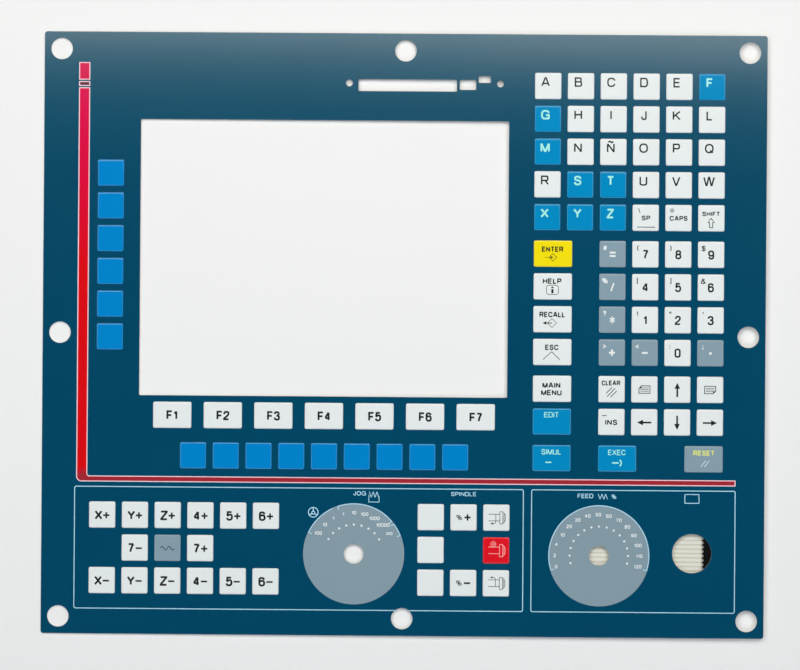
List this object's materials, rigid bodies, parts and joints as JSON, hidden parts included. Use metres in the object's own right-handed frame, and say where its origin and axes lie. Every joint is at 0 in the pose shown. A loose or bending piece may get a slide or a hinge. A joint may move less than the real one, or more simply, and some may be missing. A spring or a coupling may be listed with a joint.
{
  "type": "membrane keypad",
  "caption": "Thin printed membrane keypad for a machine operator panel, with embossed keys, a display window, cut-outs for knobs and a stop button, fixing holes and a film tail with a plug.",
  "frame": {"origin": "middle of the sheet, level with the underside of the plug", "axes": "+X to the right of the face, +Y to the top of the face, +Z out of the face"},
  "size_m": [0.42, 0.35, 0.0041],
  "materials": {
    "face_film": "satin polyester film printed deep blue",
    "white_ink": "satin screen ink",
    "blue_ink": "satin screen ink",
    "grey_ink": "satin screen ink",
    "yellow_ink": "satin screen ink",
    "red_ink": "satin screen ink",
    "adhesive": "clear adhesive sheet",
    "circuit_film": "cream polyester film",
    "silver_ink": "printed conductive ink",
    "liner": "coated release paper",
    "plug_plastic": "moulded black plastic",
    "contact_metal": "tinned brass strip"
  },
  "bodies": {
    "root": {"graphic_overlay": "face_film", "white_key_print": "white_ink", "blue_key_print": "blue_ink", "grey_key_print": "grey_ink", "yellow_key_print": "yellow_ink", "red_key_print": "red_ink", "dial_print": "grey_ink", "red_band_print": "red_ink", "white_line_print": "white_ink", "overlay_adhesive": "adhesive", "upper_circuit": "circuit_film", "upper_contacts": "silver_ink", "circuit_spacer": "adhesive", "lower_contacts": "silver_ink", "lower_circuit": "circuit_film", "tail_tracks": "silver_ink", "rear_adhesive": "adhesive", "release_liner": "liner", "plug_housing": "plug_plastic", "plug_contacts": "contact_metal"}
  },
  "joints": []
}
